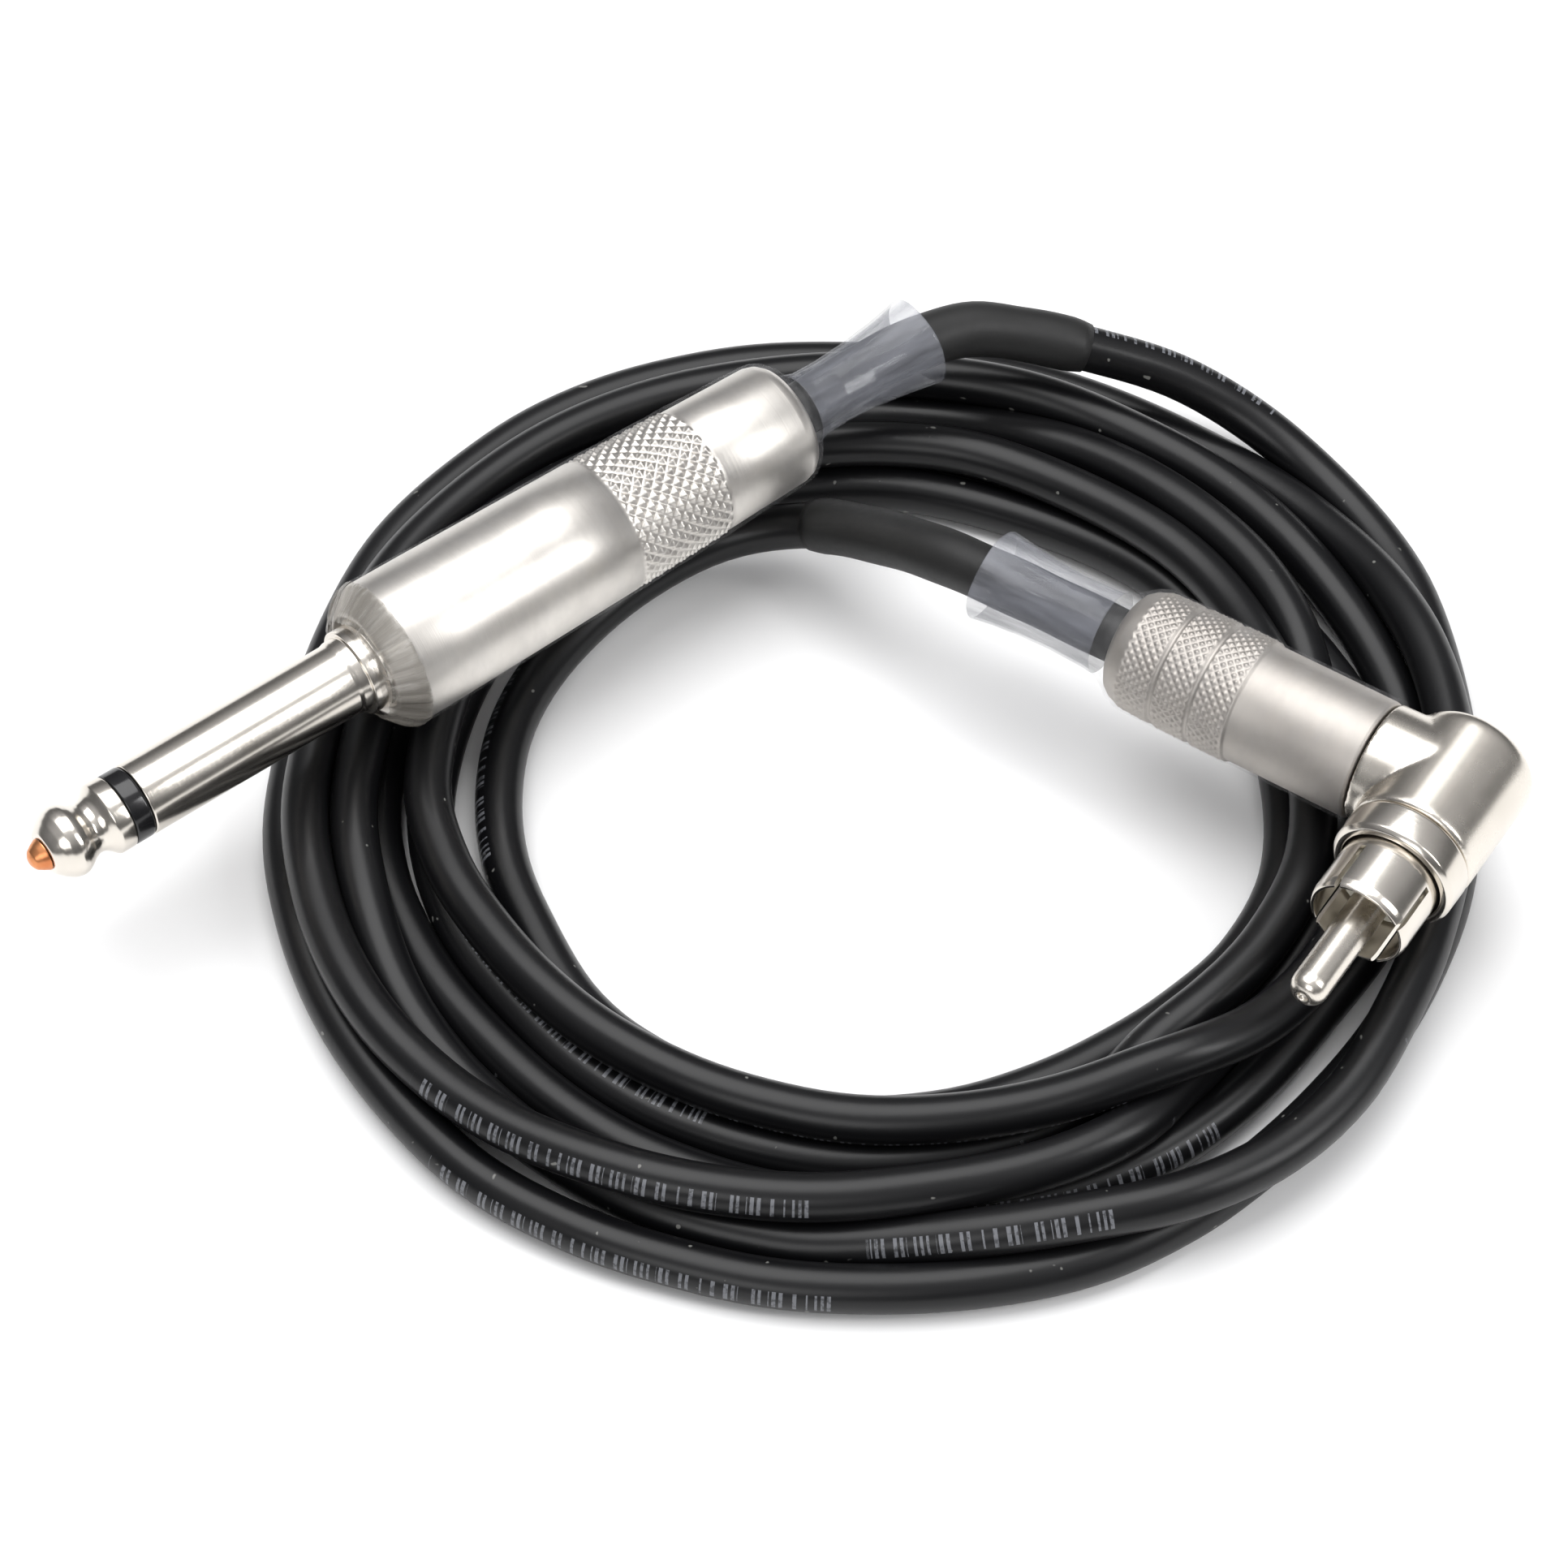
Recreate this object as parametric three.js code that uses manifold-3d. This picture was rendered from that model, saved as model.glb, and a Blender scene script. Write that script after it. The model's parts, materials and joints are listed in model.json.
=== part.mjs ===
// Instrument cable: a loosely coiled mono cord with a straight 6.35 mm phone plug on one end
// and a right-angle phono plug on the other. Millimetres, +Z up, lying on the floor at z = 0.
import * as THREE from "three";
import Module from "manifold-3d";

const wasm = await Module();
wasm.setup();

// ---------------------------------------------------------------- driving dimensions
const CABLE_R = 2.0;
const SHRINK_IN = 2.15;
const SHRINK_OUT = 2.4;
const COIL_IN = 33.6;
const COIL_OUT = 50.8;
const COIL_TOP = 7.8;
const COIL_TOP_IN = 36.6;
const COIL_TOP_OUT = 46.4;
const COIL_SIDE = 3.4;
const GAP = 0.3;

// The phone plug: its tip end, its direction in plan, and distances along its axis from the tip.
const JACK_TIP = [-67.5, -16.0, 14.9];
const JACK_TURN = 38.2;
const FINGER_R = 3.175;
const SHOULDER = 31.0;
const FLANGE_R = 4.0;
const BARREL_FRONT = 33.0;
const BARREL_REAR = 77.0;
const JACK_TAIL_END = 91.5;
const JACK_JACKET = 50.0;

// The phono plug: the middle of its elbow and the direction of its pin in plan.
const ELBOW = [46.7, -8.4, 13.6];
const PIN_TURN = 237;
const PIN_R = 1.6;
const PIN_END = 23.8;
const SHELL_R = 4.35;
const SHELL_END = 15.2;
const ELBOW_R = 5.5;
const PHONO_BARREL = 6.9;
const PHONO_REAR = 30.3;
const PHONO_TAIL_END = 43.4;
const PHONO_JACKET = 12.0;

// ---------------------------------------------------------------- materials
function coat(color, roughness, metalness, extra = {}) {
  return new THREE.MeshStandardMaterial({ color, roughness, metalness, ...extra });
}

const NICKEL = () => coat(0xc9c2b4, 0.22, 1);
const SATIN = () => coat(0xb9b8b4, 0.42, 1);
const COPPER = () => coat(0xc0673a, 0.35, 1);
const BRASS = () => coat(0xc2a45a, 0.35, 1);
const PVC = () => coat(0x1b1c1f, 0.45, 0);
const SHRINK = () => coat(0x151517, 0.65, 0);
const BLACK_PLASTIC = () => coat(0x0e0e10, 0.25, 0);
const WHITE_PLASTIC = () => coat(0xe6e3d8, 0.5, 0);
const PAPER = () => coat(0xd8d2bd, 0.7, 0);
const FILM = () => coat(0xb8c0cc, 0.15, 0, { transparent: true, opacity: 0.35 });

// ---------------------------------------------------------------- shape helpers
// A turned piece about local +X, from [distance, radius] pairs.
function turned(profile, segments = 28) {
  let area = 0;
  profile.forEach(([u, r], i) => {
    const [nextU, nextR] = profile[(i + 1) % profile.length];
    area += u * nextR - nextU * r;
  });
  const ordered = area > 0 ? [...profile].reverse() : profile;
  const points = ordered.map(([u, r]) => new THREE.Vector2(r, u));
  const geometry = new THREE.LatheGeometry(points, segments);
  geometry.rotateZ(-Math.PI / 2);
  return geometry;
}

// A turned tube: its outer profile, then its bore from the far end back to the near end.
function tube(outer, bore, segments = 28) {
  return turned([...outer, ...[...bore].reverse(), outer[0]], segments);
}

// A straight tube between two distances.
function pipe(from, to, outer, inner, segments = 28) {
  return tube([[from, outer], [to, outer]], [[from, inner], [to, inner]], segments);
}

function ringShape(outer, inner, sides) {
  const shape = new THREE.Shape();
  const hole = new THREE.Path();
  for (let i = 0; i < sides; i += 1) {
    const angle = (2 * Math.PI * i) / sides;
    const draw = i ? "lineTo" : "moveTo";
    shape[draw](outer * Math.cos(angle), outer * Math.sin(angle));
    hole[draw](inner * Math.cos(-angle), inner * Math.sin(-angle));
  }
  shape.closePath();
  hole.closePath();
  if (inner > 0) shape.holes.push(hole);
  return shape;
}

// A tube swept along points, as a smooth curve.
function swept(points, outer, inner, steps, sides = 10) {
  const path = new THREE.CatmullRomCurve3(
    points.map((p) => new THREE.Vector3(...p)), false, "centripetal");
  return new THREE.ExtrudeGeometry(
    ringShape(outer, inner, sides), { steps, bevelEnabled: false, extrudePath: path });
}

function box(x0, x1, y0, y1, z0, z1) {
  const geometry = new THREE.BoxGeometry(x1 - x0, y1 - y0, z1 - z0);
  geometry.translate((x0 + x1) / 2, (y0 + y1) / 2, (z0 + z1) / 2);
  return geometry;
}

function toSolid(geometry) {
  const flat = geometry.index ? geometry.toNonIndexed() : geometry;
  const source = flat.getAttribute("position").array;
  const seen = new Map();
  const vertices = [];
  const triangles = [];
  for (let i = 0; i < source.length; i += 3) {
    const corner = [source[i], source[i + 1], source[i + 2]];
    const key = corner.map((v) => Math.round(v * 1e4)).join();
    if (!seen.has(key)) {
      seen.set(key, vertices.length / 3);
      vertices.push(...corner);
    }
    triangles.push(seen.get(key));
  }
  const kept = [];
  for (let i = 0; i < triangles.length; i += 3) {
    const [a, b, c] = triangles.slice(i, i + 3);
    if (a !== b && b !== c && a !== c) kept.push(a, b, c);
  }
  const mesh = new wasm.Mesh({
    numProp: 3,
    vertProperties: new Float32Array(vertices),
    triVerts: new Uint32Array(kept),
  });
  return new wasm.Manifold(mesh);
}

function fromSolid(solid) {
  const mesh = solid.getMesh();
  const geometry = new THREE.BufferGeometry();
  geometry.setAttribute("position", new THREE.BufferAttribute(mesh.vertProperties, 3));
  geometry.setIndex(new THREE.BufferAttribute(mesh.triVerts, 1));
  geometry.computeVertexNormals();
  return geometry;
}

function merged(...geometries) {
  const [first, ...rest] = geometries.map(toSolid);
  return rest.reduce((sum, solid) => sum.add(solid), first);
}

function largest(solid) {
  return solid.decompose().sort((a, b) => b.volume() - a.volume())[0];
}

// ---------------------------------------------------------------- frames
function planFrame(origin, degrees) {
  const frame = new THREE.Group();
  frame.position.set(...origin);
  frame.rotation.z = THREE.MathUtils.degToRad(degrees);
  return frame;
}

const jack = planFrame(JACK_TIP, JACK_TURN);
const phono = planFrame(ELBOW, PIN_TURN);
const rear = planFrame(ELBOW, PIN_TURN - 90);
const cord = new THREE.Group();

function along(frame, distance, side = 0, up = 0) {
  frame.updateMatrixWorld(true);
  return new THREE.Vector3(distance, side, up).applyMatrix4(frame.matrixWorld).toArray();
}

function add(frame, name, geometry, material) {
  const mesh = new THREE.Mesh(geometry, material);
  mesh.name = name;
  frame.add(mesh);
}

// ---------------------------------------------------------------- phone plug, fixed pieces
add(jack, "jack_centre_rod", turned([
  [0, 0], [0.25, 0.9], [0.8, 1.45], [1.3, 1.5], [1.3, 1.0], [39.6, 1.0], [39.6, 1.6],
  [40.2, 1.6], [40.6, 1.1], [40.6, 0],
], 16), COPPER());

add(jack, "jack_tip", tube([
  [1.6, 1.75], [2.2, 2.5], [3.1, 3.0], [3.9, 3.1], [4.5, 2.85], [5.2, 2.35], [5.8, 2.3],
  [6.4, 2.6], [6.9, 3.05], [8.3, FINGER_R],
], [[1.6, 1.3], [8.3, 1.3]]), NICKEL());

add(jack, "jack_insulator", tube([
  [8.6, 3.1], [10.0, 3.1], [10.0, 2.0], [38.4, 2.0],
], [[8.6, 1.3], [38.4, 1.3]]), BLACK_PLASTIC());

// The base behind the flange carries the thread that the barrel screws on.
function threadedBase() {
  const outer = [
    [10.3, FINGER_R], [SHOULDER, FINGER_R], [SHOULDER, FLANGE_R], [32.3, FLANGE_R],
    [32.3, 3.8],
  ];
  for (let ridge = 0; ridge < 5; ridge += 1) {
    const start = 33.0 + ridge * 0.75;
    outer.push([start, 3.8], [start + 0.38, 4.15], [start + 0.74, 3.8]);
  }
  outer.push([36.9, 3.8]);
  return tube(outer, [[10.3, 2.3], [36.9, 2.3]], 28);
}
add(jack, "jack_sleeve", threadedBase(), NICKEL());

function clampStrip(ringAt, stripTop, stripEnd, clampFrom, clampTo, halfWidth) {
  const bottom = stripTop - 0.5;
  const clamp = toSolid(pipe(clampFrom, clampTo, -stripTop + 0.15, SHRINK_IN + 0.13, 24));
  const mouth = toSolid(box(clampFrom - 1, clampTo + 1, -1.4, 1.4, 0.5, 6));
  const strip = toSolid(box(ringAt, stripEnd, -halfWidth, halfWidth, bottom, stripTop));
  return clamp.subtract(mouth).add(strip);
}
add(jack, "jack_ground_lug", fromSolid(
  toSolid(pipe(37.2, 37.8, 3.6, 2.3, 24)).add(clampStrip(37.2, -2.85, 60, 55, 60, 1.2)),
), BRASS());
add(jack, "jack_rear_washer", pipe(38.1, 38.6, 2.65, 2.25, 20), PAPER());
add(jack, "jack_tip_lug", fromSolid(
  merged(pipe(38.9, 39.35, 2.6, 1.3, 20), box(38.9, 45, -1.2, 1.2, 2.0, 2.5)),
), BRASS());

// ---------------------------------------------------------------- phone plug, moving pieces
add(jack, "jack_inner_tube", pipe(39.8, 72.0, 4.5, 4.15, 24), PAPER());

add(jack, "jack_barrel", tube([
  [BARREL_FRONT, 4.75], [33.5, 5.2], [35.1, 6.35], [57.3, 6.05], [57.6, 5.95],
  [57.6, 6.1], [66.9, 5.85], [66.9, 5.7], [76.0, 5.45], [BARREL_REAR, 4.6],
], [
  [BARREL_FRONT, 4.45], [37.2, 4.45], [37.2, 4.8], [74.6, 4.8], [74.6, 2.85],
  [BARREL_REAR, 2.85],
], 40), SATIN());

add(jack, "jack_clear_sleeve", tube([
  [32.7, 4.75], [32.9, 5.1], [34.95, 6.65], [57.5, 6.4], [66.9, 6.2], [76.2, 5.75],
  [77.4, 4.9], [78.6, 3.4], [JACK_TAIL_END, 3.75],
], [
  [32.7, 4.55], [32.9, 4.85], [34.95, 6.46], [57.5, 6.22], [66.9, 6.0], [76.1, 5.58],
  [77.2, 4.72], [78.6, 3.15], [JACK_TAIL_END, 3.5],
], 40), FILM());

// ---------------------------------------------------------------- phono plug, fixed pieces
add(phono, "phono_pin", turned([
  [3.0, 0], [3.0, 1.0], [4.4, 1.0], [4.4, PIN_R], [22.7, PIN_R], [23.4, 1.35],
  [PIN_END, 0.8], [23.4, 0.5], [23.0, 0],
], 20), NICKEL());

add(phono, "phono_insulator", tube([
  [3.4, 3.7], [11.2, 3.7],
], [[3.4, 1.9], [11.2, 1.9]], 24), WHITE_PLASTIC());

function slottedShell() {
  let shell = toSolid(tube([
    [3.2, SHELL_R - 0.05], [9.9, SHELL_R - 0.05], [14.3, SHELL_R], [SHELL_END, SHELL_R - 0.2],
  ], [[3.2, 3.98], [14.3, 3.98], [SHELL_END, 3.85]], 32));
  for (let slot = 0; slot < 4; slot += 1) {
    const cut = box(10.6, 16, 2, 6, -0.3, 0.3);
    cut.rotateX(THREE.MathUtils.degToRad(30 + slot * 90));
    shell = shell.subtract(toSolid(cut));
  }
  return fromSolid(shell);
}
add(phono, "phono_shell", slottedShell(), NICKEL());

add(phono, "phono_collar", tube([
  [6.6, 5.35], [6.8, ELBOW_R], [9.3, 5.4], [9.6, 5.2],
], [[6.6, 4.6], [9.6, 4.6]], 36), NICKEL());

function elbowBody() {
  const body = toSolid(turned([
    [-5.3, 0], [-5.3, 4.9], [-5.0, 5.3], [-4.5, ELBOW_R], [6.3, ELBOW_R], [6.3, 0],
  ], 36));
  const neck = [[0, 0], [0, 5.15], [6.5, 5.15], [6.5, 3.85]];
  for (let ridge = 0; ridge < 4; ridge += 1) {
    const start = 7.2 + ridge * 0.75;
    neck.push([start, 3.85], [start + 0.38, 4.15], [start + 0.74, 3.85]);
  }
  neck.push([10.6, 3.85], [10.6, 0]);
  const branch = turned(neck, 28);
  const bore = turned([[0, 0], [0, 3.5], [12, 3.5], [12, 0]], 28);
  branch.rotateZ(-Math.PI / 2);
  bore.rotateZ(-Math.PI / 2);
  const room = turned([[-7, 0], [-7, 4.65], [8, 4.65], [8, 0]], 36);
  return fromSolid(body.add(toSolid(branch)).subtract(toSolid(room)).subtract(toSolid(bore)));
}
add(phono, "phono_elbow", elbowBody(), NICKEL());

add(phono, "phono_back_cap", turned([
  [-5.2, 0], [-5.2, 4.2], [-5.05, 4.35], [-4.3, 4.35], [-4.3, 0],
], 36), NICKEL());

add(rear, "phono_ground_strip", fromSolid(clampStrip(-1.5, -2.7, 22, 17, 22, 1.0)), BRASS());

// ---------------------------------------------------------------- phono plug, moving pieces
add(rear, "phono_inner_tube", pipe(11.2, 27.0, 4.3, 4.0, 24), PAPER());

add(rear, "phono_barrel", tube([
  [PHONO_BARREL, 5.1], [7.1, 5.2], [18.0, 5.2], [18.2, 5.4], [21.5, 5.4], [21.6, 5.2],
  [21.8, 5.2], [21.9, 5.4], [25.0, 5.4], [25.1, 5.2], [25.3, 5.2], [25.4, 5.35],
  [28.4, 5.25], [29.7, 4.8], [PHONO_REAR, 3.9],
], [
  [PHONO_BARREL, 4.4], [10.9, 4.4], [10.9, 4.6], [29.2, 4.6], [29.2, 2.85],
  [PHONO_REAR, 2.85],
], 36), SATIN());

add(rear, "phono_clear_sleeve", tube([
  [6.75, 5.55], [18.0, 5.55], [28.6, 5.6], [29.9, 5.1], [31.0, 4.2], [31.8, 3.3],
  [PHONO_TAIL_END, 3.7],
], [
  [6.75, 5.35], [17.6, 5.35], [18.1, 5.47], [28.5, 5.42], [29.8, 4.95], [30.9, 4.0],
  [31.7, 3.1], [PHONO_TAIL_END, 3.45],
], 36), FILM());

// ---------------------------------------------------------------- cord outside the coil
// Route of each loose stretch, hand-placed: from inside its plug to the coil.
const JACK_ROUTE = [
  along(jack, JACK_JACKET),
  along(jack, 64),
  along(jack, 78),
  along(jack, 90, 0, -0.1),
  [8.9, 42.9, 13.85],
  [13.6, 43.6, 12.5],
  [19.8, 43.5, 10.6],
  [27.4, 42.8, 7.9],
  [34.4, 40.0, 4.9],
  [40.6, 34.6, 2.7],
  [45.2, 27.6, 2.1],
  [47.6, 21.0, 2.1],
];
const PHONO_ROUTE = [
  along(rear, PHONO_JACKET),
  along(rear, 24),
  along(rear, 34),
  along(rear, 43, 0, -0.2),
  [6.2, 18.4, 12.4],
  [0.8, 23.0, 9.6],
  [-5.2, 26.8, 6.5],
  [-12.6, 27.4, 4.0],
  [-20.2, 23.4, 2.5],
  [-26.6, 16.0, 2.1],
  [-30.0, 8.6, 2.1],
  [-31.0, 1.0, 2.1],
  [-30.2, -6.4, 2.1],
  [-27.9, -12.8, 2.1],
  [-24.6, -20.0, 2.1],
];
const JACK_SHRINK = [0.17, 0.585];
const PHONO_SHRINK = [0.12, 0.475];

// The part of a route between two fractions of its length.
function stretchOf(route, [from, to]) {
  const whole = new THREE.CatmullRomCurve3(
    route.map((p) => new THREE.Vector3(...p)), false, "centripetal");
  const points = [];
  for (let i = 0; i <= 30; i += 1) {
    points.push(whole.getPointAt(from + ((to - from) * i) / 30).toArray());
  }
  return points;
}

// The coil's outer shape: two layers of turns, the upper layer narrower than the lower.
function coilProfile(grow) {
  const inner = COIL_IN - grow;
  const outer = COIL_OUT + grow;
  const low = -grow;
  const top = COIL_TOP + grow;
  return [
    [low, inner + 1.2], [low, outer - 1.2], [low + 1.2, outer], [COIL_SIDE, outer],
    [top, COIL_TOP_OUT + grow * 0.6], [top, COIL_TOP_IN - grow * 0.6], [COIL_SIDE, inner],
    [low + 1.2, inner], [low, inner + 1.2],
  ];
}

function coilRing(grow) {
  const ring = turned(coilProfile(grow), 64);
  ring.rotateY(-Math.PI / 2);
  return ring;
}
add(cord, "cable_coil", coilRing(0), PVC());

const coilRoom = toSolid(coilRing(GAP));
function looseCord(route, steps) {
  return fromSolid(largest(toSolid(swept(route, CABLE_R, 0, steps)).subtract(coilRoom)));
}
add(cord, "cable_jack_end", looseCord(JACK_ROUTE, 40), PVC());
add(cord, "cable_phono_end", looseCord(PHONO_ROUTE, 44), PVC());
add(cord, "jack_black_shrink", swept(stretchOf(JACK_ROUTE, JACK_SHRINK), SHRINK_OUT, SHRINK_IN, 22), SHRINK());
add(cord, "phono_black_shrink", swept(stretchOf(PHONO_ROUTE, PHONO_SHRINK), SHRINK_OUT, SHRINK_IN, 20), SHRINK());

// ---------------------------------------------------------------- stripped ends
add(jack, "jack_core_insulation", pipe(46.0, JACK_JACKET - GAP, 1.1, 0.75, 14), WHITE_PLASTIC());
add(jack, "jack_core_conductor",
  swept([[49.4, 0, 0], [47.0, 0, 0], [45.2, 0, 0.3], [43.8, 0, 1.0], [42.0, 0, 1.25]],
    0.45, 0, 10, 8), COPPER());
add(jack, "jack_shield_pigtail",
  swept([[49.7, 1.75, 0], [47.6, 2.1, -0.8], [46.0, 1.7, -1.7], [44.0, 1.0, -2.15]],
    0.4, 0, 8, 8), COPPER());
add(rear, "phono_core_insulation", pipe(4.4, PHONO_JACKET - GAP, 1.1, 0.75, 14), WHITE_PLASTIC());
add(rear, "phono_core_conductor",
  swept([[11.4, 0, 0], [4.2, 0, 0], [1.6, 0, 0], [0.3, 0.7, 0], [0, 2.6, 0]],
    0.45, 0, 14, 8), COPPER());
add(rear, "phono_shield_pigtail",
  swept([[11.7, 1.75, 0], [9.6, 2.1, -0.8], [8.0, 1.7, -1.6], [6.2, 0.9, -2.0]],
    0.4, 0, 8, 8), COPPER());

// ---------------------------------------------------------------- the whole part
const group = new THREE.Group();
group.name = "instrument_cable";
group.add(jack, phono, rear, cord);
group.updateMatrixWorld(true);
const bounds = new THREE.Box3().setFromObject(group, true);
const centre = bounds.getCenter(new THREE.Vector3());
group.position.set(-centre.x, -centre.y, -bounds.min.z);

export default group;
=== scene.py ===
import json
import math

import bmesh
import bpy
import numpy as np
from mathutils import Matrix, Vector


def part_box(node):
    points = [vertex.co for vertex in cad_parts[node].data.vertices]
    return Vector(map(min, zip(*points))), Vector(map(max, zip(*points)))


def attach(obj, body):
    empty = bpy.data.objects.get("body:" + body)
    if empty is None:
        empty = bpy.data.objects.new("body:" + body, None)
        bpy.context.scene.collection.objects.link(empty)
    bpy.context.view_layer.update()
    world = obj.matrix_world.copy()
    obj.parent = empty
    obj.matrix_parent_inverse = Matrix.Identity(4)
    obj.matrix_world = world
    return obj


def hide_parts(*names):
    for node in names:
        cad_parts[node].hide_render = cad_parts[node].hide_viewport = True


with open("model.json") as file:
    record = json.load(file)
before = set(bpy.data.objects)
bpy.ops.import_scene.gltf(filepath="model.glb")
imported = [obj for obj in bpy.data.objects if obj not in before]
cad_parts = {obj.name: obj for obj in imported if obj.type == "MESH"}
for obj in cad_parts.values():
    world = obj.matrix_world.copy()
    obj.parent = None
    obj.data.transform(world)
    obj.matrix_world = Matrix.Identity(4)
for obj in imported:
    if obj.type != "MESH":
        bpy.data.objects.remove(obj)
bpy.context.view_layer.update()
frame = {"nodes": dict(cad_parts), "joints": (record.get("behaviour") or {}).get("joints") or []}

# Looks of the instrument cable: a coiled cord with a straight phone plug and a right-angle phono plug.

MM = 0.001
coil_low, coil_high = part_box("cable_coil")
COIL_CENTRE = (coil_low + coil_high) / 2
ORIGIN = np.array([COIL_CENTRE.x, COIL_CENTRE.y, 0.0]) / MM
JOINTS = {joint["name"]: joint for joint in frame["joints"]}

FIXED = "cord_and_plugs"
JACK_BODY = "jack_barrel_body"
PHONO_BODY = "phono_barrel_body"

# Sizes in mm.
CABLE_R = 2.0
SHRINK_R = 2.4
PRINT_RUN = 35.0
PRINT_HALF_HEIGHT = 0.82
STROKE_PITCH = 0.52
GROUP_PITCH = 1.76
EASE_STEP = 1.6
ROUTE_STEP = 1.5
EASE_ROUNDS = 320
TURN_GAP = 0.03
NEAR = 7.0
TIP_TO_BARREL_PIVOT = 50
ELBOW_TO_BARREL_PIVOT = 15
UNPRINTED = -50.0
HIDDEN_TILT = -38.0
FLOOR_SIZE_M = 1.5


# ---------------------------------------------------------------- frames of the two plugs
def axis_frame(point, direction):
    """Local +X runs along direction from point; local +Z stays up."""
    x = Vector(direction).normalized()
    up = Vector((0, 0, 1))
    y = up.cross(x).normalized()
    matrix = Matrix((x, y, x.cross(y))).transposed().to_4x4()
    matrix.translation = Vector(point)
    return matrix


jack_turn = JOINTS["jack_barrel_turn"]
phono_turn = JOINTS["phono_barrel_turn"]
jack_axis = Vector(jack_turn["axis"]).normalized()
rear_axis = Vector(phono_turn["axis"]).normalized()
pin_axis = Vector((-rear_axis.y, rear_axis.x, 0))
jack_tip_point = Vector(jack_turn["pos_m"]) - jack_axis * TIP_TO_BARREL_PIVOT * MM
elbow_point = Vector(phono_turn["pos_m"]) - rear_axis * ELBOW_TO_BARREL_PIVOT * MM
JACK = axis_frame(jack_tip_point, jack_axis)
REAR = axis_frame(elbow_point, rear_axis)
PHONO = axis_frame(elbow_point, pin_axis)


def along(matrix, distance, side=0.0, up=0.0):
    """A point of a plug's frame, in mm about the coil."""
    point = matrix @ Vector((distance * MM, side * MM, up * MM))
    return np.array(point) / MM - ORIGIN


# ---------------------------------------------------------------- camera
def make_camera():
    """The photo's camera: a long lens, 52 degrees above the floor, facing the coil."""
    elevation = math.radians(52)
    distance = 450 * MM
    target = Vector((-7.1, -0.3, 5.0)) * MM + Vector(ORIGIN * MM)
    back = Vector((0, -math.cos(elevation), math.sin(elevation)))
    data = bpy.data.cameras.new("camera")
    data.sensor_width = 36
    data.lens = 124.1
    data.clip_start = 0.01
    data.clip_end = 10
    camera = bpy.data.objects.new("camera", data)
    camera.location = target + back * distance
    camera.rotation_mode = "QUATERNION"
    camera.rotation_quaternion = (-back).to_track_quat("-Z", "Y")
    bpy.context.collection.objects.link(camera)
    bpy.context.scene.camera = camera


make_camera()

# ---------------------------------------------------------------- the cord's route, in mm about the coil
JACK_ROUTE = [
    along(JACK, 50),
    along(JACK, 64),
    along(JACK, 78),
    along(JACK, 90, 0, -0.1),
    (8.9, 42.9, 13.85),
    (13.6, 43.6, 12.5),
    (19.8, 43.5, 10.6),
    (27.4, 42.8, 7.9),
    (34.4, 40.0, 4.9),
    (40.6, 34.6, 2.7),
    (45.2, 27.6, 2.1),
    (47.6, 21.0, 2.1),
]
PHONO_ROUTE = [
    along(REAR, 12),
    along(REAR, 24),
    along(REAR, 34),
    along(REAR, 43, 0, -0.2),
    (6.2, 18.4, 12.4),
    (0.8, 23.0, 9.6),
    (-5.2, 26.8, 6.5),
    (-12.6, 27.4, 4.0),
    (-20.2, 23.4, 2.5),
    (-26.6, 16.0, 2.1),
    (-30.0, 8.6, 2.1),
    (-31.0, 1.0, 2.1),
    (-30.2, -6.4, 2.1),
    (-27.9, -12.8, 2.1),
]
JACK_SHRINK = (0.17, 0.585)
PHONO_SHRINK = (0.12, 0.475)

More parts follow.
